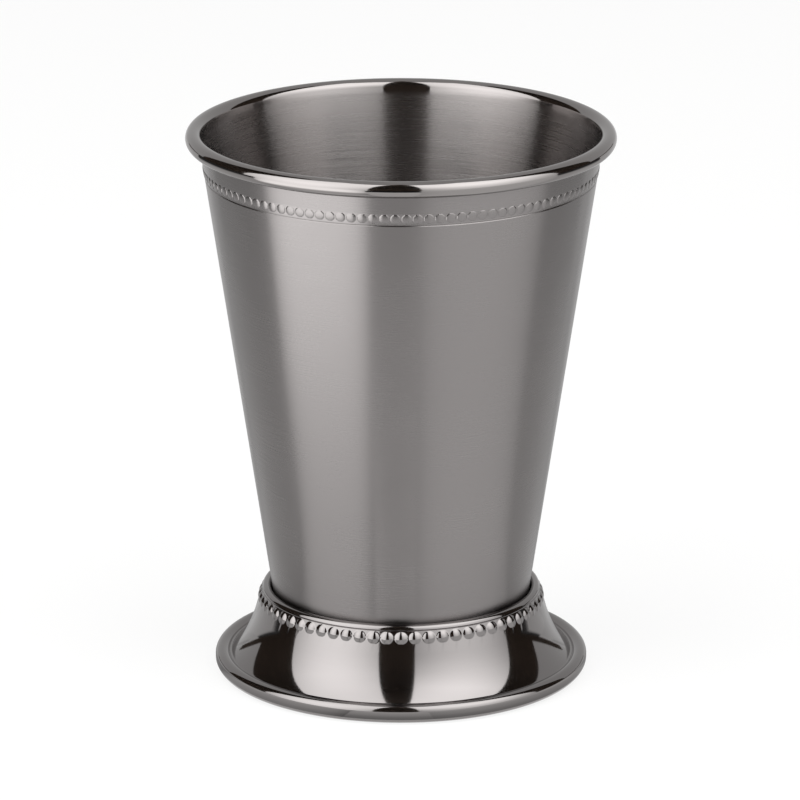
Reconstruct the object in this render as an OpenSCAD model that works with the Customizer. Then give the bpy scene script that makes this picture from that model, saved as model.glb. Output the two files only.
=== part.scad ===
// Footed julep cup in dark plated steel: a drawn tapered cup with a rolled lip and a beaded border,
// brazed into the seat of a spun foot whose shoulder carries a bolder row of beads.
// Millimetres, +Z up, origin at the centre of the flat ring that the foot rests on.

/* [Cup] */
// Overall height of the cup
height = 108; // [96:1:120]
// Outer diameter of the rolled lip
lip_d = 82.5; // [76:0.5:90]
// Taper of the wall from the vertical, degrees
taper = 8.6; // [7.5:0.1:9.5]
// Thickness of the cup's sheet
cup_wall = 0.7; // [0.5:0.05:0.9]
// Diameter of the rolled lip's tube
lip_roll_d = 3.2; // [2.6:0.1:4]
// Open gap between the lip's tucked edge and the wall
lip_roll_gap = 0.25; // [0.15:0.05:0.4]
// Inside radius between floor and wall
floor_r = 2.5; // [1.5:0.1:4]
// Height of the cup's underside above the table
floor_z = 8; // [7:0.25:9.5]

/* [Upper border] */
// Beads round the cup
cup_beads = 114; // [96:1:120]
// Width of one bead
cup_bead_d = 1.8; // [1.5:0.1:2]
// Height of a bead above the wall
cup_bead_rise = 0.14; // [0.12:0.02:0.36]
// Height of a bead's crisp edge, from which its dome rises
cup_bead_edge = 0.06; // [0.04:0.02:0.1]
// Centre of the bead row below the top of the lip
cup_bead_drop = 7.75; // [6:0.25:12]
// Distance from the bead row's centre down to the fine line
cup_line_offset = 1.4; // [1.3:0.1:2.4]
// Depth of the fine line
cup_line_depth = 0.12; // [0.08:0.02:0.2]
// Width of the fine line
cup_line_w = 0.3; // [0.2:0.05:0.5]

/* [Foot] */
// Reach of the flare and its rolled edge beyond the bead band
flare_w = 7.9; // [6:0.1:12]
// Thickness of the foot's sheet
foot_wall = 0.7; // [0.5:0.05:0.9]
// Height of the foot's shoulder lip
shoulder_z = 16.8; // [16:0.2:19]
// Radius of the shoulder lip
shoulder_r = 0.9; // [0.75:0.05:1.1]
// Lean of the bead band from the vertical, degrees
band_lean = 16; // [12:1:20]
// Height of the bead band, from the shoulder's top down to the flare
band_h = 5.4; // [4.8:0.1:6.5]
// Width of the flat seat under the cup, from the cup's corner in to the seat's hole
seat_w = 4.1; // [2.5:0.1:8]
// Play between the cup and its seat, filled with braze under the floor
seat_gap = 0.2; // [0.1:0.05:0.3]
// Slope of the flare where it ends, degrees from the horizontal
flare_slope = 45; // [40:1:52]
// Radius of the hollow between the flare and the rolled edge
valley_r = 0.35; // [0.25:0.05:0.5]
// Radius of the rolled edge's upper round
edge_top_r = 1.45; // [1.3:0.05:1.6]
// Radius of the rolled edge's lower round
edge_low_r = 1.95; // [1.7:0.05:2.2]
// Straight stretch between the two, down the outside
edge_drop = 0.5; // [0.3:0.1:1]

/* [Foot beads] */
// Beads round the foot
foot_beads = 64; // [52:1:68]
// Width of one bead
foot_bead_d = 2.4; // [1.8:0.05:2.6]
// How far a bead stands out of the band
foot_bead_rise = 0.35; // [0.25:0.05:0.5]
// Width of the dimple behind a bead
foot_dimple_d = 1.4; // [1:0.1:1.6]
// How deep the dimple goes into the sheet
foot_dimple_depth = 0.5; // [0.3:0.05:0.55]
// Centre of the bead row below the shoulder's top
foot_bead_drop = 2.3; // [2.2:0.1:3]
// Depth of the fine line above the beads
foot_line_depth = 0.12; // [0.08:0.02:0.2]
// Width of the fine line above the beads
foot_line_w = 0.3; // [0.2:0.05:0.5]

/* [Hidden] */
$fn = 96;

// Overrun of every cut past the metal
overrun = 0.5;
// How deep a bead is rooted in the sheet that carries it
bead_root = 0.3;
// Reach of the braze fillet inside the seat's hole, and its play against the hole's edge
fillet_w = 0.8;
fillet_h = 0.5;
fillet_play = 0.03;
// Half of the arc of the rolled edge that is pressed flat to rest on, degrees
rest_half_arc = 12;
// Where the hollow meets the rolled edge, and where that edge ends, degrees round the roll
edge_meet_at = 150;
edge_end_at = -155;

// Line along the wall's inside face: its radius at a height
roll_r = lip_roll_d / 2;
roll_c = [lip_d / 2 - roll_r, height - roll_r];
function inner_r(z) = roll_c[0] - roll_r / cos(taper) + (z - roll_c[1]) * tan(taper);
function outer_r(z) = inner_r(z) + cup_wall / cos(taper);

// Centre of the rounded corner between floor and wall
corner_z = floor_z + cup_wall + floor_r;
corner_c = [inner_r(corner_z) - floor_r / cos(taper), corner_z];

// Points along an arc, from one angle to the other
function arc(c, r, a0, a1, n) =
    [for (i = [0:n]) let (a = a0 + (a1 - a0) * i / n) c + r * [cos(a), sin(a)]];

// A curve from p0 to p2 that leaves and arrives along the lines to p1, moved inward
function bend(p0, p1, p2, depth, n) =
    [for (i = [0:n])
        let (t = i / n,
             p = (1 - t) * (1 - t) * p0 + 2 * t * (1 - t) * p1 + t * t * p2,
             d = (1 - t) * (p1 - p0) + t * (p2 - p1))
        p - depth * [-d[1], d[0]] / norm(d)];

function backward(list) = [for (i = [len(list) - 1:-1:0]) list[i]];

// Angle at which the roll's edge stops, short of the wall by the open gap
roll_end_at = 180 - taper - 360 + acos((roll_r - cup_wall - lip_roll_gap) / roll_r);

// One face of the cup's sheet: depth 0 is the face that touches the drink
function cup_face(depth) = concat(
    [[0, floor_z + cup_wall - depth]],
    arc(corner_c, floor_r + depth, -90, -taper, 10),
    arc(roll_c, roll_r - depth, 180 - taper, roll_end_at, 48));

// Centre of the cup's bead row, and the fine line below it
cup_bead_z = height - cup_bead_drop;
cup_line_z = cup_bead_z - cup_line_offset;

// A bead standing on the plane z = 0: a dome on an edge, with a plug below that roots it in the sheet
module bead(d, rise, edge) {
    base_r = d / 2;
    dome = rise - edge;
    ball_r = (base_r * base_r + dome * dome) / (2 * dome);
    rotate_extrude($fn = 32)
        intersection() {
            translate([0, rise - ball_r]) circle(r = ball_r, $fn = 128);
            translate([0, -bead_root]) square([base_r, bead_root + rise + overrun]);
        }
}

// Copies of a child round the axis, each stood on a wall that leans by lean at radius r and height z
module bead_row(count, r, z, lean) {
    for (i = [0:count - 1])
        rotate([0, 0, i * 360 / count])
            translate([r, 0, z]) rotate([0, 90 - lean, 0]) children();
}

// A fine line pressed round a leaning wall at height z, where its surface is at radius r
module fine_line(r, z, lean, w, depth) {
    rotate_extrude()
        translate([r, z]) rotate(lean)
            polygon([[overrun, -w / 2 - overrun * w / depth / 2],
                     [overrun, w / 2 + overrun * w / depth / 2],
                     [-depth, 0]]);
}

module cup_body() {
    color("#8a8280")
    difference() {
        union() {
            rotate_extrude() polygon(concat(cup_face(0), backward(cup_face(cup_wall))));
            bead_row(cup_beads, outer_r(cup_bead_z), cup_bead_z, -taper)
                bead(cup_bead_d, cup_bead_rise, cup_bead_edge);
        }
        fine_line(outer_r(cup_line_z), cup_line_z, -taper, cup_line_w, cup_line_depth);
    }
}

// Shoulder lip of the foot, and the leaning band below it
shoulder_cz = shoulder_z - shoulder_r;
shoulder_c = [outer_r(shoulder_cz) + (seat_gap + shoulder_r) / cos(taper), shoulder_cz];
band_top = shoulder_c + shoulder_r * [cos(band_lean), sin(band_lean)];
function band_r(z) = band_top[0] + (band_top[1] - z) * tan(band_lean);

// Top of the flare, and the seat's hole
flare_top_z = shoulder_z - band_h;
seat_hole_r = corner_c[0] - seat_w;

// Rolled edge: the centres of its lower and upper rounds, and of the hollow that leads into it
foot_r = band_r(flare_top_z) + flare_w;
edge_low_c = [foot_r - edge_low_r, edge_low_r * cos(rest_half_arc)];
edge_top_c = [foot_r - edge_top_r, edge_low_c[1] + edge_drop];
valley_c = edge_top_c + (edge_top_r + valley_r) * [cos(edge_meet_at), sin(edge_meet_at)];

// Flare: its two ends, and the knee where the lines through them cross
flare_top = [band_r(flare_top_z), flare_top_z];
flare_end = valley_c - valley_r * [sin(flare_slope), cos(flare_slope)];
flare_run = (flare_end[0] - band_r(flare_end[1])) / (cos(flare_slope) - sin(flare_slope) * tan(band_lean));
flare_knee = flare_end + flare_run * [-cos(flare_slope), sin(flare_slope)];

// One face of the foot's sheet: depth 0 is the polished face
function foot_face(depth) = concat(
    [[seat_hole_r, floor_z - seat_gap - depth]],
    arc(corner_c, floor_r + cup_wall + seat_gap + depth, -90, -taper, 10),
    arc(shoulder_c, shoulder_r - depth, 180 - taper, band_lean, 20),
    bend(flare_top, flare_knee, flare_end, depth, 20),
    arc(valley_c, valley_r + depth, 270 - flare_slope, 180 + edge_meet_at, 10),
    arc(edge_top_c, edge_top_r - depth, edge_meet_at, 0, 20),
    arc(edge_low_c, edge_low_r - depth, 0, rest_half_arc - 90, 12),
    arc(edge_low_c, edge_low_r - depth, -rest_half_arc - 90, edge_end_at, 10));

// Centre of the foot's bead row, and the fine line just under the shoulder
foot_bead_z = shoulder_z - foot_bead_drop;
foot_line_z = band_top[1] - foot_line_w;

module foot() {
    color("#4a4341")
    difference() {
        union() {
            rotate_extrude() polygon(concat(foot_face(0), backward(foot_face(foot_wall))));
            bead_row(foot_beads, band_r(foot_bead_z), foot_bead_z, band_lean)
                bead(foot_bead_d, foot_bead_rise, 0);
        }
        bead_row(foot_beads, band_r(foot_bead_z), foot_bead_z, band_lean)
            translate([0, 0, -foot_wall - overrun])
                cylinder(d = foot_dimple_d, h = overrun + foot_dimple_depth, $fn = 32);
        fine_line(band_r(foot_line_z), foot_line_z, band_lean, foot_line_w, foot_line_depth);
    }
}

// Braze film under the cup's floor, with its fillet round the seat's hole
module braze_ring() {
    film_z = floor_z - seat_gap;
    hole_r = seat_hole_r - fillet_play;
    color("#b9b4a6")
    rotate_extrude()
        polygon([[corner_c[0], floor_z],
                 [seat_hole_r - fillet_w, floor_z],
                 [hole_r, film_z - fillet_h],
                 [hole_r, film_z],
                 [corner_c[0], film_z]]);
}

cup_body();
foot();
braze_ring();
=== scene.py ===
import math

import bmesh
import bpy
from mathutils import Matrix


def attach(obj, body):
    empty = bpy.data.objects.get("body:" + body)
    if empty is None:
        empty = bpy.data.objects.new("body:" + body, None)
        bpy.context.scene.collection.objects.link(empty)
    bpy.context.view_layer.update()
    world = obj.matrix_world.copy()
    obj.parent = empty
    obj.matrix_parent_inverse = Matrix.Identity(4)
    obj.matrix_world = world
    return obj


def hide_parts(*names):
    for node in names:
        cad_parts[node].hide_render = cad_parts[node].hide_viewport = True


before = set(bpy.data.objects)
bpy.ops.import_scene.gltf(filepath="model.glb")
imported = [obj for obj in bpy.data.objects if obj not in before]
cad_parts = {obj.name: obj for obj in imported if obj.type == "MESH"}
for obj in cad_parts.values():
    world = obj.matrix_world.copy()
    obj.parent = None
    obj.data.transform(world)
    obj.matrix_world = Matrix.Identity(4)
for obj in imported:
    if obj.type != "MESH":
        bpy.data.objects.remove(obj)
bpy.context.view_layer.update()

MM = 0.001

# Cup, in millimetres and degrees as in the part's source
HEIGHT = 108.0
LIP_D = 82.5
TAPER = 8.6
CUP_WALL = 0.7
LIP_ROLL_D = 3.2
LIP_ROLL_GAP = 0.25
FLOOR_R = 2.5
FLOOR_Z = 8.0
CUP_BEADS = 114
CUP_BEAD_D = 1.8
CUP_BEAD_RISE = 0.14
CUP_BEAD_EDGE = 0.06
CUP_BEAD_DROP = 7.75
CUP_LINE_OFFSET = 1.4
CUP_LINE_DEPTH = 0.12
CUP_LINE_W = 0.3

# Foot
FLARE_W = 7.9
FOOT_WALL = 0.7
SHOULDER_Z = 16.8
SHOULDER_R = 0.9
BAND_LEAN = 16.0
BAND_H = 5.4
SEAT_W = 4.1
SEAT_GAP = 0.2
FLARE_SLOPE = 45.0
VALLEY_R = 0.35
EDGE_TOP_R = 1.45
EDGE_LOW_R = 1.95
EDGE_DROP = 0.5
FOOT_BEADS = 64
FOOT_BEAD_D = 2.4
FOOT_BEAD_RISE = 0.35
FOOT_DIMPLE_D = 1.4
FOOT_DIMPLE_DEPTH = 0.5
FOOT_BEAD_DROP = 2.3
FOOT_LINE_DEPTH = 0.12
FOOT_LINE_W = 0.3
REST_HALF_ARC = 12.0
EDGE_MEET_AT = 150.0
EDGE_END_AT = -155.0

# How finely the surfaces are divided: samples round one bead, how many of them make one plain step,
# and rows down one bead
BEAD_SAMPLES = 20
SAMPLES_PER_STEP = 4
BEAD_ROWS = 24

# How far the finely divided rows reach past a bead, above and below it
CUP_BEAD_MARGIN = 0.1
FOOT_BEAD_MARGIN = 0.08
DIMPLE_MARGIN = 0.05

# Where the faces on two sides of an edge turn by more than this, the edge is shaded sharp
SHARP_ANGLE = 22

# Heights between which the brushed inside turns into the polished lip
POLISH_START = 104.6
POLISH_END = 106.4

# Metal colours, and how rough the polish is
BLACK_NICKEL = (0.248, 0.234, 0.231)
# The inside and the cup's lip are the same black nickel as the outside, painted lighter so that their
# reflections come out brighter
NICKEL_PAINTED_LIGHTER = (0.286, 0.269, 0.263)
SILVER_BRAZE = (0.5, 0.48, 0.42)
POLISH_ROUGHNESS = 0.07

# Studio, in metres and degrees: the floor, how high the glowing cards that paint the floor in the metal's
# reflections lie on it, the curved softboxes, and the radiance of the grey cloths
STAGE_R = 2.4
CARD_Z = 0.2 * MM
SOFTBOX_R = 1.3
SOFTBOX_TOP = 76
GREY_RADIANCE = 0.58

# Levels where its cloths change, by distance from the axis and height: the wall's foot, the line where
# it turns grey at the sides, its top, the ring where the roof changes, and the roof's middle
WALL_FOOT = (2.2, 0.0)
WALL_LOW = (2.2, 0.12)
WALL_TOP = (2.2, 2.4)
ROOF_RING = (1.05, 2.4)
ROOF_PEAK = (0.0, 2.4)

# Azimuths where its cloths change: the dark slot at the front, the dark front, and the back
SLOT = (-18, 10)
FRONT = (-127, 117)
BACK = (150, 210)

# Camera, from the photograph's perspective
LOOK_AT_Z = 53.75 * MM
CAMERA_X = -0.2 * MM
CAMERA_DISTANCE = 1185.7 * MM
CAMERA_PITCH = 16.924
FOCAL_PIXELS = 6125.8
IMAGE_PIXELS = 800
SENSOR_MM = 36.0


def cos(degrees):
    return math.cos(math.radians(degrees))


def sin(degrees):
    return math.sin(math.radians(degrees))


def tan(degrees):
    return math.tan(math.radians(degrees))


def arc(centre, radius, start, end, steps):
    """Points along an arc, from one angle to the other."""
    angles = [start + (end - start) * i / steps for i in range(steps + 1)]
    return [(centre[0] + radius * cos(a), centre[1] + radius * sin(a)) for a in angles]


def bend(p0, p1, p2, depth, steps):
    """A curve from p0 to p2 that leaves and arrives along the lines to p1, moved inward."""
    points = []
    for i in range(steps + 1):
        t = i / steps
        x, z = ((1 - t) ** 2 * p0[k] + 2 * t * (1 - t) * p1[k] + t * t * p2[k] for k in (0, 1))
        dx, dz = ((1 - t) * (p1[k] - p0[k]) + t * (p2[k] - p1[k]) for k in (0, 1))
        share = depth / math.hypot(dx, dz)
        points.append((x + dz * share, z - dx * share))
    return points


def line(start, end, steps):
    """Points along a straight stretch, without its two ends."""
    return [(start[0] + (end[0] - start[0]) * i / steps, start[1] + (end[1] - start[1]) * i / steps)
            for i in range(1, steps)]


ROLL_R = LIP_ROLL_D / 2
ROLL_C = (LIP_D / 2 - ROLL_R, HEIGHT - ROLL_R)
ROLL_END_AT = 180 - TAPER - 360 + math.degrees(math.acos((ROLL_R - CUP_WALL - LIP_ROLL_GAP) / ROLL_R))


def inner_r(z):
    return ROLL_C[0] - ROLL_R / cos(TAPER) + (z - ROLL_C[1]) * tan(TAPER)


def outer_r(z):
    return inner_r(z) + CUP_WALL / cos(TAPER)


CORNER_Z = FLOOR_Z + CUP_WALL + FLOOR_R
CORNER_C = (inner_r(CORNER_Z) - FLOOR_R / cos(TAPER), CORNER_Z)
CUP_BEAD_Z = HEIGHT - CUP_BEAD_DROP
CUP_LINE_Z = CUP_BEAD_Z - CUP_LINE_OFFSET

SHOULDER_CZ = SHOULDER_Z - SHOULDER_R
SHOULDER_C = (outer_r(SHOULDER_CZ) + (SEAT_GAP + SHOULDER_R) / cos(TAPER), SHOULDER_CZ)
BAND_TOP = (SHOULDER_C[0] + SHOULDER_R * cos(BAND_LEAN), SHOULDER_C[1] + SHOULDER_R * sin(BAND_LEAN))


def band_r(z):
    return BAND_TOP[0] + (BAND_TOP[1] - z) * tan(BAND_LEAN)


FLARE_TOP_Z = SHOULDER_Z - BAND_H
SEAT_HOLE_R = CORNER_C[0] - SEAT_W
FOOT_R = band_r(FLARE_TOP_Z) + FLARE_W
EDGE_LOW_C = (FOOT_R - EDGE_LOW_R, EDGE_LOW_R * cos(REST_HALF_ARC))
EDGE_TOP_C = (FOOT_R - EDGE_TOP_R, EDGE_LOW_C[1] + EDGE_DROP)
VALLEY_C = (EDGE_TOP_C[0] + (EDGE_TOP_R + VALLEY_R) * cos(EDGE_MEET_AT),
            EDGE_TOP_C[1] + (EDGE_TOP_R + VALLEY_R) * sin(EDGE_MEET_AT))
FLARE_TOP = (band_r(FLARE_TOP_Z), FLARE_TOP_Z)
FLARE_END = (VALLEY_C[0] - VALLEY_R * sin(FLARE_SLOPE), VALLEY_C[1] - VALLEY_R * cos(FLARE_SLOPE))
FLARE_RUN = (FLARE_END[0] - band_r(FLARE_END[1])) / (cos(FLARE_SLOPE) - sin(FLARE_SLOPE) * tan(BAND_LEAN))
FLARE_KNEE = (FLARE_END[0] - FLARE_RUN * cos(FLARE_SLOPE), FLARE_END[1] + FLARE_RUN * sin(FLARE_SLOPE))
FOOT_BEAD_Z = SHOULDER_Z - FOOT_BEAD_DROP


class BeadRow:
    """Domes round a leaning face: how many, how finely sampled, and how far each point stands out."""

    def __init__(self, count, samples, width, rise, edge, lean, centre):
        self.count = count
        self.samples = samples
        self.base_r = width / 2
        self.ball_r = (self.base_r ** 2 + (rise - edge) ** 2) / (2 * (rise - edge))
        self.sunk = self.ball_r - rise
        self.out = (cos(lean), sin(lean))
        self.down = (sin(lean), -cos(lean))
        self.centre = centre

    def dome(self, across, along):
        square = across * across + along * along
        if square >= self.base_r ** 2:
            return 0.0
        return math.sqrt(self.ball_r ** 2 - square) - self.sunk

    def rows(self, reach, number):
        """The face's rows from above the domes to below them."""
        found = []
        for i in range(number + 1):
            across = reach * (2 * i / number - 1)
            found.append(Row((self.centre[0] + self.down[0] * across,
                              self.centre[1] + self.down[1] * across), self, across))
        return found


class Row:
    """One ring of the turned surface, plain or with beads."""

    def __init__(self, point, beads=None, across=0.0):
        self.r, self.z = point
        self.beads = beads
        self.across = across

    def ring(self, plain_steps):
        if self.r == 0:
            return [(0.0, 0.0, self.z)]
        if not self.beads:
            return [(self.r * math.cos(a), self.r * math.sin(a), self.z)
                    for a in (2 * math.pi * i / plain_steps for i in range(plain_steps))]
        points = []
        step = 2 * math.pi / (self.beads.count * self.beads.samples)
        for i in range(self.beads.count * self.beads.samples):
            place = i % self.beads.samples
            along = min(place, self.beads.samples - place) * step * self.r
            height = self.beads.dome(self.across, along)
            r = self.r + self.beads.out[0] * height
            z = self.z + self.beads.out[1] * height
            points.append((r * math.cos(i * step), r * math.sin(i * step), z))
        return points


def plain(points):
    return [Row(p) for p in points]


def bridge(first, second):
    """Faces between two neighbouring rings, of which one may be a whole number of times finer."""
    if len(first) < len(second):
        return [face[::-1] for face in bridge(second, first)]
    n = len(first)
    if len(second) == 1:
        return [(first[i], first[(i + 1) % n], second[0]) for i in range(n)]
    ratio = n // len(second)
    faces = []
    for i in range(len(second)):
        near = [first[(i * ratio + k) % n] for k in range(ratio + 1)]
        faces.append(tuple(near + [second[(i + 1) % len(second)], second[i]]))
    return faces


def turned(name, rows, plain_steps, materials, finishes, closed):
    """A piece turned about the axis, its rows joined in order, and last to first where closed.
    Each stretch from one row to the next has the finish of its place in the list."""
    vertices, faces, slots, rings = [], [], [], []
    for row in rows:
        ring = row.ring(plain_steps)
        rings.append(range(len(vertices), len(vertices) + len(ring)))
        vertices += [(x * MM, y * MM, z * MM) for x, y, z in ring]
    pairs = list(range(len(rows) - 1)) + ([len(rows) - 1] if closed else [])
    for i in pairs:
        added = bridge(list(rings[i]), list(rings[(i + 1) % len(rows)]))
        faces += added
        slots += [finishes[i]] * len(added)
    mesh = bpy.data.meshes.new(name)
    mesh.from_pydata(vertices, [], faces)
    for material in materials:
        mesh.materials.append(material)
    mesh.polygons.foreach_set("material_index", slots)
    work = bmesh.new()
    work.from_mesh(mesh)
    bmesh.ops.recalc_face_normals(work, faces=work.faces)
    work.to_mesh(mesh)
    work.free()
    mesh.polygons.foreach_set("use_smooth", [True] * len(mesh.polygons))
    mesh.set_sharp_from_angle(angle=math.radians(SHARP_ANGLE))
    piece = bpy.data.objects.new(name, mesh)
    bpy.context.scene.collection.objects.link(piece)
    return piece


def groove(radius_at, z, lean, width, depth):
    """The three points of a fine V line on a leaning face, from above to below."""
    foot_of = (radius_at(z), z)
    half = width / 2
    return [(foot_of[0] - sin(lean) * half, foot_of[1] + cos(lean) * half),
            (foot_of[0] - cos(lean) * depth, foot_of[1] - sin(lean) * depth),
            (foot_of[0] + sin(lean) * half, foot_of[1] - cos(lean) * half)]


def cup_rows():
    """The cup's sheet: inside from the floor up, over the lip, then outside from the lip down.
    The finishes are 0 satin, 1 brushed, 2 polished and 3 burnished."""
    wall_top = (ROLL_C[0] + ROLL_R * cos(180 - TAPER), ROLL_C[1] + ROLL_R * sin(180 - TAPER))
    inside = [(0.0, FLOOR_Z + CUP_WALL)]
    inside += line(inside[0], (CORNER_C[0], FLOOR_Z + CUP_WALL), 8)
    inside += arc(CORNER_C, FLOOR_R, -90, -TAPER, 10)
    inside += line(inside[-1], wall_top, 14)
    lip = arc(ROLL_C, ROLL_R, 180 - TAPER, ROLL_END_AT, 56)
    tube = arc(ROLL_C, ROLL_R - CUP_WALL, ROLL_END_AT, 180 - TAPER, 36)
    beads = BeadRow(CUP_BEADS, BEAD_SAMPLES, CUP_BEAD_D, CUP_BEAD_RISE, CUP_BEAD_EDGE, -TAPER,
                    (outer_r(CUP_BEAD_Z), CUP_BEAD_Z)).rows(CUP_BEAD_D / 2 + CUP_BEAD_MARGIN, BEAD_ROWS)
    fine_line = groove(outer_r, CUP_LINE_Z, -TAPER, CUP_LINE_W, CUP_LINE_DEPTH)
    corner = arc(CORNER_C, FLOOR_R + CUP_WALL, -TAPER, -90, 10)
    outside = line(tube[-1], (beads[0].r, beads[0].z), 4)
    below = fine_line + line(fine_line[-1], corner[0], 12) + corner
    below += line(corner[-1], (0.0, FLOOR_Z), 8) + [(0.0, FLOOR_Z)]
    rows = plain(inside + lip + tube + outside) + beads + plain(below)
    finishes = [1] * len(inside) + [2] * (len(lip + tube) - 1)
    finishes += [0] * (len(outside) + 1) + [3] * (len(beads) - 1)
    return rows, finishes + [0] * (len(rows) - len(finishes))


def foot_face(depth):
    """The stretches of one face of the foot's sheet, from the seat's hole to the tucked edge."""
    seat = [(SEAT_HOLE_R, FLOOR_Z - SEAT_GAP - depth)]
    corner_r = FLOOR_R + CUP_WALL + SEAT_GAP + depth
    upper = seat + arc(CORNER_C, corner_r, -90, -TAPER, 10)
    upper += arc(SHOULDER_C, SHOULDER_R - depth, 180 - TAPER, BAND_LEAN, 24)
    lower = bend(FLARE_TOP, FLARE_KNEE, FLARE_END, depth, 30)
    lower += arc(VALLEY_C, VALLEY_R + depth, 270 - FLARE_SLOPE, 180 + EDGE_MEET_AT, 16)[1:]
    lower += arc(EDGE_TOP_C, EDGE_TOP_R - depth, EDGE_MEET_AT, 0, 30)[1:]
    lower += arc(EDGE_LOW_C, EDGE_LOW_R - depth, 0, REST_HALF_ARC - 90, 18)
    lower += arc(EDGE_LOW_C, EDGE_LOW_R - depth, -REST_HALF_ARC - 90, EDGE_END_AT, 12)
    return upper, lower


def foot_rows():
    """The foot's sheet: the polished face from the seat to the edge, then the back of it.
    The finishes are 0 satin and 1 polished."""
    upper, lower = foot_face(0)
    fine_line = groove(band_r, BAND_TOP[1] - FOOT_LINE_W, BAND_LEAN, FOOT_LINE_W, FOOT_LINE_DEPTH)
    beads = BeadRow(FOOT_BEADS, BEAD_SAMPLES, FOOT_BEAD_D, FOOT_BEAD_RISE, 0.0, BAND_LEAN,
                    (band_r(FOOT_BEAD_Z), FOOT_BEAD_Z)).rows(FOOT_BEAD_D / 2 + FOOT_BEAD_MARGIN, BEAD_ROWS)
    face = plain(upper + fine_line) + beads + plain(lower)
    back_upper, back_lower = foot_face(FOOT_WALL)
    back_centre = (band_r(FOOT_BEAD_Z) - FOOT_WALL * cos(BAND_LEAN),
                   FOOT_BEAD_Z - FOOT_WALL * sin(BAND_LEAN))
    dimples = BeadRow(FOOT_BEADS, BEAD_SAMPLES, FOOT_DIMPLE_D, FOOT_DIMPLE_DEPTH, 0.0, BAND_LEAN,
                      back_centre).rows(FOOT_DIMPLE_D / 2 + DIMPLE_MARGIN, BEAD_ROWS // 2)
    back = plain(back_upper) + dimples + plain(back_lower)
    return face + back[::-1], [1] * (len(face) - 1) + [0] * (len(back) + 1)


def node(tree, kind, links=None, **values):
    """A shader node with its inputs linked or set, and its own settings."""
    made = tree.nodes.new(kind)
    for name, value in values.items():
        setattr(made, name, value)
    for name, source in (links or {}).items():
        if isinstance(source, bpy.types.NodeSocket):
            tree.links.new(source, made.inputs[name])
        else:
            made.inputs[name].default_value = source
    return made


def math_node(tree, operation, first, second=0.0, third=0.0):
    return node(tree, "ShaderNodeMath", {0: first, 1: second, 2: third}, operation=operation).outputs[0]


def turned_coordinates(tree, around, along):
    """Texture space in which marks run round the axis: around sets how long, along how close they lie."""
    place = node(tree, "ShaderNodeTexCoord").outputs["Object"]
    xyz = node(tree, "ShaderNodeSeparateXYZ", {0: place}).outputs
    radius = math_node(tree, "POWER", math_node(tree, "ADD", math_node(tree, "MULTIPLY", xyz[0], xyz[0]),
                                                math_node(tree, "MULTIPLY", xyz[1], xyz[1])), 0.5)
    safe = math_node(tree, "MAXIMUM", radius, MM)
    ways = [math_node(tree, "MULTIPLY", math_node(tree, "DIVIDE", xyz[k], safe), around) for k in (0, 1)]
    height = math_node(tree, "MULTIPLY", math_node(tree, "ADD", xyz[2], radius), along)
    return node(tree, "ShaderNodeCombineXYZ", {0: ways[0], 1: ways[1], 2: height}).outputs[0], place, xyz[2]


def metal(name, colour, roughness, spread, streaks, around, along, bump, mottle, polished_from=None):
    """Plated metal with turning marks: colour and roughness vary with the marks, by streaks, and with
    faint cloudy patches, by mottle. The spread is the anisotropy, and around and along are as above.
    Above polished_from, a low and a high height, the marks fade out and the metal is polished."""
    made = bpy.data.materials.new(name)
    made.use_nodes = True
    tree = made.node_tree
    tree.nodes.clear()
    coordinates, place, height = turned_coordinates(tree, around, along)
    marks = node(tree, "ShaderNodeTexNoise", {"Vector": coordinates, "Scale": 1.0, "Detail": 5.0,
                                              "Roughness": 0.7}).outputs["Fac"]
    clouds = node(tree, "ShaderNodeTexNoise", {"Vector": place, "Scale": 90.0,
                                               "Detail": 3.0}).outputs["Fac"]
    from_marks = math_node(tree, "MULTIPLY", math_node(tree, "SUBTRACT", marks, 0.5), streaks)
    from_clouds = math_node(tree, "MULTIPLY", math_node(tree, "SUBTRACT", clouds, 0.5), mottle)
    both = math_node(tree, "ADD", from_marks, from_clouds)
    rough = math_node(tree, "ADD", roughness, both)
    relief = node(tree, "ShaderNodeBump", {"Height": marks, "Strength": bump, "Distance": 0.02 * MM})
    if polished_from:
        finish = node(tree, "ShaderNodeMapRange", {"Value": height, "From Min": polished_from[0],
                                                   "From Max": polished_from[1]},
                      interpolation_type="SMOOTHSTEP").outputs["Result"]
        to_polish = math_node(tree, "SUBTRACT", POLISH_ROUGHNESS, rough)
        rough = math_node(tree, "MULTIPLY_ADD", finish, to_polish, rough)
        unpolished = math_node(tree, "SUBTRACT", 1.0, finish)
        tree.links.new(math_node(tree, "MULTIPLY", unpolished, bump), relief.inputs["Strength"])
        both = math_node(tree, "MULTIPLY", unpolished, both)
    shade = node(tree, "ShaderNodeMix", {"Factor": math_node(tree, "ADD", both, 0.5)}, data_type="RGBA")
    shade.inputs[6].default_value = [c * 1.5 for c in colour] + [1.0]
    shade.inputs[7].default_value = [c * 0.5 for c in colour] + [1.0]
    shader = node(tree, "ShaderNodeBsdfPrincipled", {
        "Base Color": shade.outputs[2], "Metallic": 1.0, "Roughness": rough,
        "Anisotropic": spread, "Anisotropic Rotation": 0.25, "Normal": relief.outputs[0]})
    node(tree, "ShaderNodeOutputMaterial", {"Surface": shader.outputs[0]})
    return made


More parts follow.
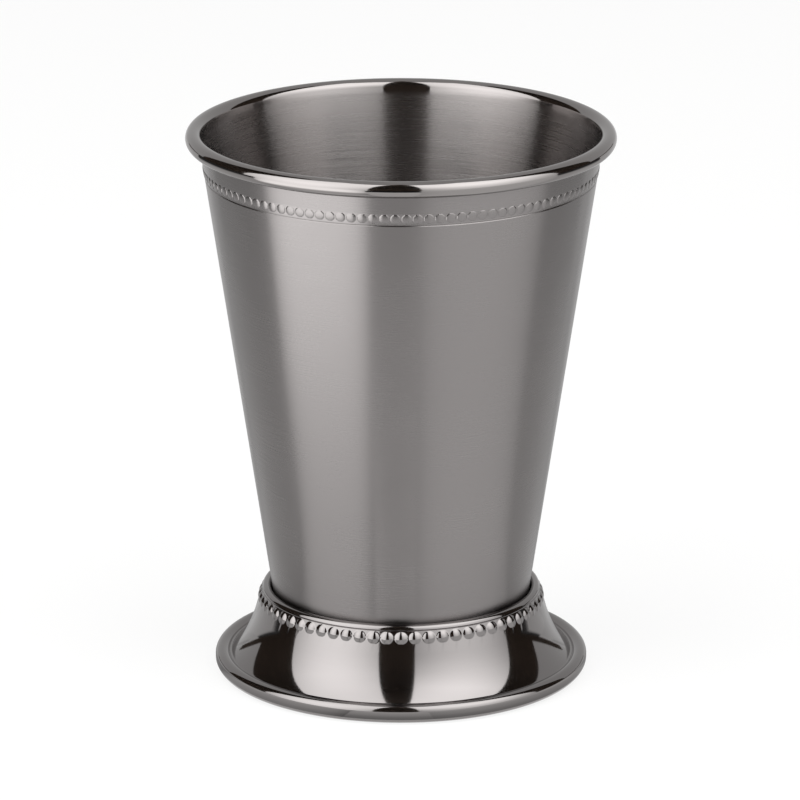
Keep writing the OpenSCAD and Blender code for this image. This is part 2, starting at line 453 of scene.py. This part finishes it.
def object_pieces():
    satin = metal("satin_outside", BLACK_NICKEL, 0.28, 0.92, 0.06, 3.0, 9000.0, 0.1, 0.05)
    # The brushed inside and the polished lip take the black nickel painted lighter, which brightens their
    # reflections
    brushed = metal("brushed_inside", NICKEL_PAINTED_LIGHTER, 0.25, 0.95, 0.3, 2.0, 2600.0, 0.3, 0.06,
                    polished_from=(POLISH_START * MM, POLISH_END * MM))
    polished = metal("polished", BLACK_NICKEL, POLISH_ROUGHNESS, 0.0, 0.03, 2.0, 4000.0, 0.03, 0.02)
    polished_lip = metal("polished_lip", NICKEL_PAINTED_LIGHTER, POLISH_ROUGHNESS, 0.0, 0.03, 2.0, 4000.0, 0.03, 0.02)
    burnished = metal("burnished_beads", BLACK_NICKEL, 0.24, 0.8, 0.05, 3.0, 9000.0, 0.05, 0.03)
    braze = metal("braze", SILVER_BRAZE, 0.45, 0.0, 0.1, 30.0, 2000.0, 0.6, 0.2)

    rows, finishes = cup_rows()
    cup = turned("cup_shell", rows, CUP_BEADS * BEAD_SAMPLES // SAMPLES_PER_STEP,
                 [satin, brushed, polished_lip, burnished], finishes, closed=False)
    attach(cup, "root")
    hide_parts("cup_body")

    rows, finishes = foot_rows()
    foot = turned("foot_shell", rows, FOOT_BEADS * BEAD_SAMPLES // SAMPLES_PER_STEP,
                  [satin, polished], finishes, closed=True)
    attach(foot, "root")
    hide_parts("foot")

    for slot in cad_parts["braze_ring"].material_slots:
        slot.material = braze


def emission_mix(name, colour, white_share):
    """A pale stage surface that the camera and the metal see partly as plain white, so that its shadows
    stay soft."""
    made = bpy.data.materials.new(name)
    made.use_nodes = True
    tree = made.node_tree
    tree.nodes.clear()
    diffuse = node(tree, "ShaderNodeBsdfDiffuse", {"Color": colour})
    white = node(tree, "ShaderNodeEmission", {"Color": (1, 1, 1, 1), "Strength": 1.0})
    path = node(tree, "ShaderNodeLightPath").outputs
    seen = math_node(tree, "MAXIMUM", path["Is Camera Ray"],
                     math_node(tree, "MAXIMUM", path["Is Glossy Ray"], path["Is Transmission Ray"]))
    share = math_node(tree, "MULTIPLY", seen, white_share)
    mix = node(tree, "ShaderNodeMixShader", {0: share, 1: diffuse.outputs[0], 2: white.outputs[0]})
    node(tree, "ShaderNodeOutputMaterial", {"Surface": mix.outputs[0]})
    return made


def stage_mesh(name, vertices, faces, material):
    mesh = bpy.data.meshes.new(name)
    mesh.from_pydata(vertices, [], faces)
    mesh.materials.append(material)
    made = bpy.data.objects.new(name, mesh)
    bpy.context.scene.collection.objects.link(made)
    return made


def towards(azimuth, distance, z):
    """A place round the cup: azimuth 0 is the camera's side, positive to the right of the picture."""
    return (distance * sin(azimuth), -distance * cos(azimuth), z)


def emission(name, strength_of):
    """A glowing material whose strength a function works out from the place in the studio."""
    made = bpy.data.materials.new(name)
    made.use_nodes = True
    tree = made.node_tree
    tree.nodes.clear()
    place = node(tree, "ShaderNodeTexCoord").outputs["Object"]
    glow = node(tree, "ShaderNodeEmission", {"Color": (1, 1, 1, 1), "Strength": strength_of(tree, place)})
    node(tree, "ShaderNodeOutputMaterial", {"Surface": glow.outputs[0]})
    return made


def ramp(tree, value, stops):
    """Radiance between stops, which are pairs of a value and a radiance."""
    reach, most = stops[-1][0], max(radiance for _, radiance in stops)
    made = node(tree, "ShaderNodeValToRGB", {"Fac": math_node(tree, "DIVIDE", value, reach)})
    while len(made.color_ramp.elements) < len(stops):
        made.color_ramp.elements.new(0.5)
    for element, (at, radiance) in zip(made.color_ramp.elements, stops):
        element.position = at / reach
        element.color = [radiance / most] * 3 + [1.0]
    return math_node(tree, "MULTIPLY", made.outputs[0], most)


def seen_by_metal_only(card):
    """Takes a card out of the picture and out of the lighting, so that only reflections show it."""
    card.visible_camera = False
    card.visible_diffuse = False
    card.visible_shadow = False


def sector(start, end, ring_of):
    """Vertices and faces between the rings' ends, from one azimuth to another."""
    steps = max(4, round((end - start) / 4))
    vertices = [p for i in range(steps + 1) for p in ring_of(start + (end - start) * i / steps)]
    n = len(vertices) // (steps + 1)
    faces = [(n * i + k, n * i + k + 1, n * i + n + k + 1, n * i + n + k)
             for i in range(steps) for k in range(n - 1)]
    return vertices, faces


def fall_to_sides(tree, place, start, end, reach, power, fall):
    """One in the middle of a sector, and less by fall at its two sides, at the distance reach."""
    middle, half = (start + end) / 2, (end - start) / 2
    xyz = node(tree, "ShaderNodeSeparateXYZ", {0: place}).outputs
    sideways = math_node(tree, "ADD", math_node(tree, "MULTIPLY", xyz[0], cos(middle) / sin(half)),
                         math_node(tree, "MULTIPLY", xyz[1], sin(middle) / sin(half)))
    across = math_node(tree, "ABSOLUTE", math_node(tree, "DIVIDE", sideways, reach))
    return math_node(tree, "MULTIPLY_ADD", math_node(tree, "POWER", across, power), -fall, 1.0)


def floor_card(name, start, end, stops, fall=0.0):
    """A glowing card flat on the floor, which paints the lit floor in the metal's reflections. Its stops
    give the radiance by the distance from the axis, in millimetres; the low radiance next to the foot is a
    painted contact shadow. It is weaker by fall at its two sides."""
    def strength(tree, place):
        radius = node(tree, "ShaderNodeVectorMath", {0: place}, operation="LENGTH").outputs["Value"]
        glow = ramp(tree, math_node(tree, "DIVIDE", radius, MM), stops)
        return math_node(tree, "MULTIPLY", glow, fall_to_sides(tree, place, start, end, radius, 6.0, fall))

    vertices, faces = sector(start, end, lambda a: [towards(a, stops[i][0] * MM, CARD_Z) for i in (0, -1)])
    seen_by_metal_only(stage_mesh(name, vertices, faces, emission(name, strength)))


def curved_softbox(name, start, end, top, stops):
    """A softbox curved round the cup, from one azimuth to another and from the floor up to the elevation
    top. Its stops give the radiance by height as a share of its radius. It is weaker towards its sides."""
    def strength(tree, place):
        height = node(tree, "ShaderNodeSeparateXYZ", {0: place}).outputs[2]
        glow = ramp(tree, math_node(tree, "DIVIDE", height, SOFTBOX_R), stops)
        sides = fall_to_sides(tree, place, start, end, SOFTBOX_R, 2.0, 0.45)
        return math_node(tree, "MULTIPLY", glow, sides)

    heights = [top * i / 12 for i in range(13)]
    vertices, faces = sector(start, end, lambda a: [towards(a, SOFTBOX_R * cos(e), SOFTBOX_R * sin(e))
                                                    for e in heights])
    seen_by_metal_only(stage_mesh(name, vertices, faces, emission(name, strength)))


def cloth(name, start, end, material, levels):
    """A stretch of the studio's wall or roof, from one azimuth to another, through the levels given."""
    vertices, faces = sector(start, end, lambda a: [towards(a, r, z) for r, z in levels])
    seen_by_metal_only(stage_mesh(name, vertices, faces, material))


def stage():
    pale = emission_mix("pale_floor", (0.82, 0.82, 0.81, 1), 0.8)
    steps = 96
    disc = [(STAGE_R * cos(360 * i / steps), STAGE_R * sin(360 * i / steps), 0.0) for i in range(steps)]
    stage_mesh("floor", disc, [tuple(range(steps))], pale)

    dark = bpy.data.materials.new("dark_cloth")
    dark.use_nodes = True
    shader = dark.node_tree.nodes["Principled BSDF"]
    shader.inputs["Base Color"].default_value = (0.05, 0.033, 0.022, 1)
    shader.inputs["Roughness"].default_value = 0.9
    grey = emission("grey_cloth", lambda tree, place: GREY_RADIANCE)
    cloth("dark_front", *FRONT, dark, [WALL_FOOT, WALL_TOP, ROOF_RING])
    cloth("dark_slot", *SLOT, dark, [ROOF_RING, ROOF_PEAK])
    cloth("grey_roof_right", SLOT[1], FRONT[1], grey, [ROOF_RING, ROOF_PEAK])
    cloth("grey_roof_left", FRONT[0], SLOT[0], grey, [ROOF_RING, ROOF_PEAK])
    cloth("grey_back", *BACK, grey, [WALL_FOOT, WALL_TOP, ROOF_PEAK])
    for side, start, end in (("right", FRONT[1], BACK[0]), ("left", BACK[1], FRONT[0] + 360)):
        cloth("dark_low_" + side, start, end, dark, [WALL_FOOT, WALL_LOW])
        cloth("grey_high_" + side, start, end, grey, [WALL_LOW, WALL_TOP, ROOF_PEAK])

    # Every card is dim from near, the foot's edge, outward: a painted contact shadow in the metal's
    # reflections
    near = FOOT_R
    floor_card("left_glow", -81, SLOT[0], [(near, 0.5), (near + 8, 1.02), (92, 0.9), (110, 0.92),
                                           (132, 1.12), (157, 1.6), (180, 2.45), (200, 2.8), (1300, 2.6)],
               fall=0.5)
    floor_card("slot_glow", *SLOT, [(near, 0.4), (near + 8, 0.95), (300, 1.0)])
    floor_card("slot_dark", *SLOT, [(300, 0.02), (2200, 0.02)])
    floor_card("right_glow", SLOT[1], 88, [(near, 0.4), (near + 8, 0.98), (300, 1.0), (1300, 1.3)], fall=0.2)
    floor_card("left_edge", -132, -81, [(near, 0.25), (near + 20, 0.7), (250, 0.7), (450, 0.05),
                                        (2200, 0.05)])
    floor_card("right_edge", 88, 127, [(near, 0.3), (near + 20, 0.7), (250, 0.72), (450, 0.05),
                                       (2200, 0.05)])
    for name, start, end in (("back_right", 127, 139), ("back_middle", 146, 214), ("back_left", 221, 228)):
        floor_card(name, start, end, [(near, 0.2), (near + 20, 0.65), (250, 0.65), (450, 0.7), (2200, 0.7)])
    for name, start, end in (("line_right", 139, 146), ("line_left", 214, 221)):
        floor_card(name, start, end, [(near, 0.15), (near + 20, 0.5), (250, 0.5), (450, 0.7), (2200, 0.7)])
    curved_softbox("left_softbox", -89, -17, SOFTBOX_TOP,
                   [(0, 2.6), (0.26, 2.8), (0.5, 3.0), (0.7, 2.9), (1, 2.5)])
    curved_softbox("right_softbox", 10.5, 88.5, SOFTBOX_TOP,
                   [(0, 1.6), (0.26, 2.0), (0.5, 2.55), (0.7, 3.1), (1, 2.8)])


def softbox(name, place, turn, down, width, height, radiance):
    """A rectangular lamp that lights the floor. It looks along +Y at turn 0, and down by down degrees."""
    data = bpy.data.lights.new(name, "AREA")
    data.shape = "RECTANGLE"
    data.size = width
    data.size_y = height
    data.energy = radiance * math.pi * width * height
    lamp = bpy.data.objects.new(name, data)
    lamp.location = place
    lamp.rotation_euler = (math.radians(90 - down), 0, math.radians(turn))
    lamp.visible_camera = False
    lamp.visible_glossy = False
    bpy.context.scene.collection.objects.link(lamp)


def lights():
    softbox("left_bank", towards(-54, 1.2, 0.55), -54, 0, 1.74, 1.1, 2.5)
    softbox("left_roof", (-0.75, -0.45, 1.25), 0, 90, 1.1, 1.5, 2.8)
    softbox("right_bank", towards(51, 1.2, 0.55), 51, 0, 1.98, 1.1, 2.0)
    softbox("right_roof", (0.66, -0.45, 1.25), 0, 90, 1.16, 1.5, 2.5)

    world = bpy.data.worlds.new("studio")
    bpy.context.scene.world = world
    world.use_nodes = True
    tree = world.node_tree
    tree.nodes.clear()
    path = node(tree, "ShaderNodeLightPath").outputs
    seen = math_node(tree, "MAXIMUM", path["Is Camera Ray"],
                     math_node(tree, "MAXIMUM", path["Is Glossy Ray"], path["Is Transmission Ray"]))
    colour = node(tree, "ShaderNodeMix", {"Factor": seen}, data_type="RGBA")
    colour.inputs[6].default_value = (0.3, 0.3, 0.3, 1)
    colour.inputs[7].default_value = (1, 1, 1, 1)
    back = node(tree, "ShaderNodeBackground", {"Color": colour.outputs[2], "Strength": 1.0})
    node(tree, "ShaderNodeOutputWorld", {"Surface": back.outputs[0]})


def camera():
    data = bpy.data.cameras.new("camera")
    data.sensor_width = SENSOR_MM
    data.lens = FOCAL_PIXELS * SENSOR_MM / IMAGE_PIXELS
    made = bpy.data.objects.new("camera", data)
    made.location = (CAMERA_X, -CAMERA_DISTANCE * cos(CAMERA_PITCH),
                     LOOK_AT_Z + CAMERA_DISTANCE * sin(CAMERA_PITCH))
    made.rotation_euler = (math.radians(90 - CAMERA_PITCH), 0, 0)
    bpy.context.scene.collection.objects.link(made)
    bpy.context.scene.camera = made


camera()
object_pieces()
stage()
lights()
bpy.context.scene.view_settings.view_transform = "Standard"
